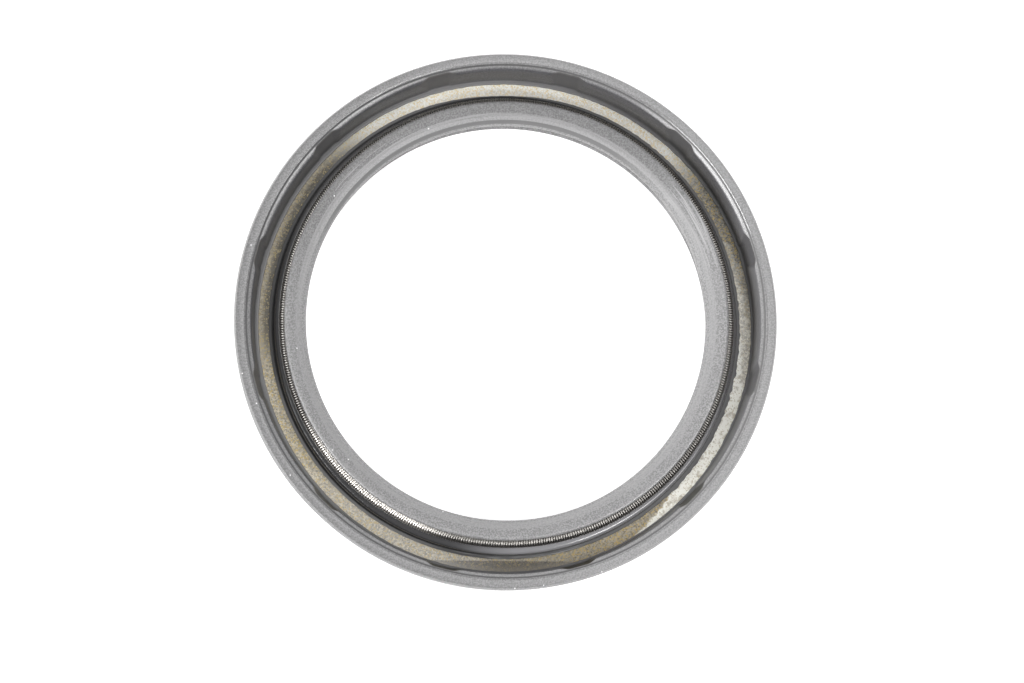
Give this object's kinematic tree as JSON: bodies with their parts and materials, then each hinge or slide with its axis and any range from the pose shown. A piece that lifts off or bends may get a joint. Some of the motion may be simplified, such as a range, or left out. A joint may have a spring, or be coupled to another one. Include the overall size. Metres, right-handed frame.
{
  "type": "radial shaft seal",
  "caption": "Rubber-covered rotary shaft seal: flat ring with a pressed steel case, a spring-loaded sealing lip and a dust lip.",
  "frame": {"origin": "centre of the seal's axis on the plane of the back (air-side) face that it lies on", "axes": "+Z along the axis towards the spring side; X and Y are in the plane of the ring, with one locating groove of the inner wall 15 degrees from +X"},
  "size_m": [0.08, 0.08, 0.008],
  "materials": {
    "coated_steel": "steel sheet with a thin, uneven, gold-brown bonding coat",
    "rubber": "charcoal moulded nitrile rubber, fine satin grain",
    "spring_steel": "bright drawn spring wire, close wound"
  },
  "bodies": {
    "root": {"metal_case": "coated_steel", "rubber_body": "rubber", "garter_spring": "spring_steel"}
  },
  "joints": []
}
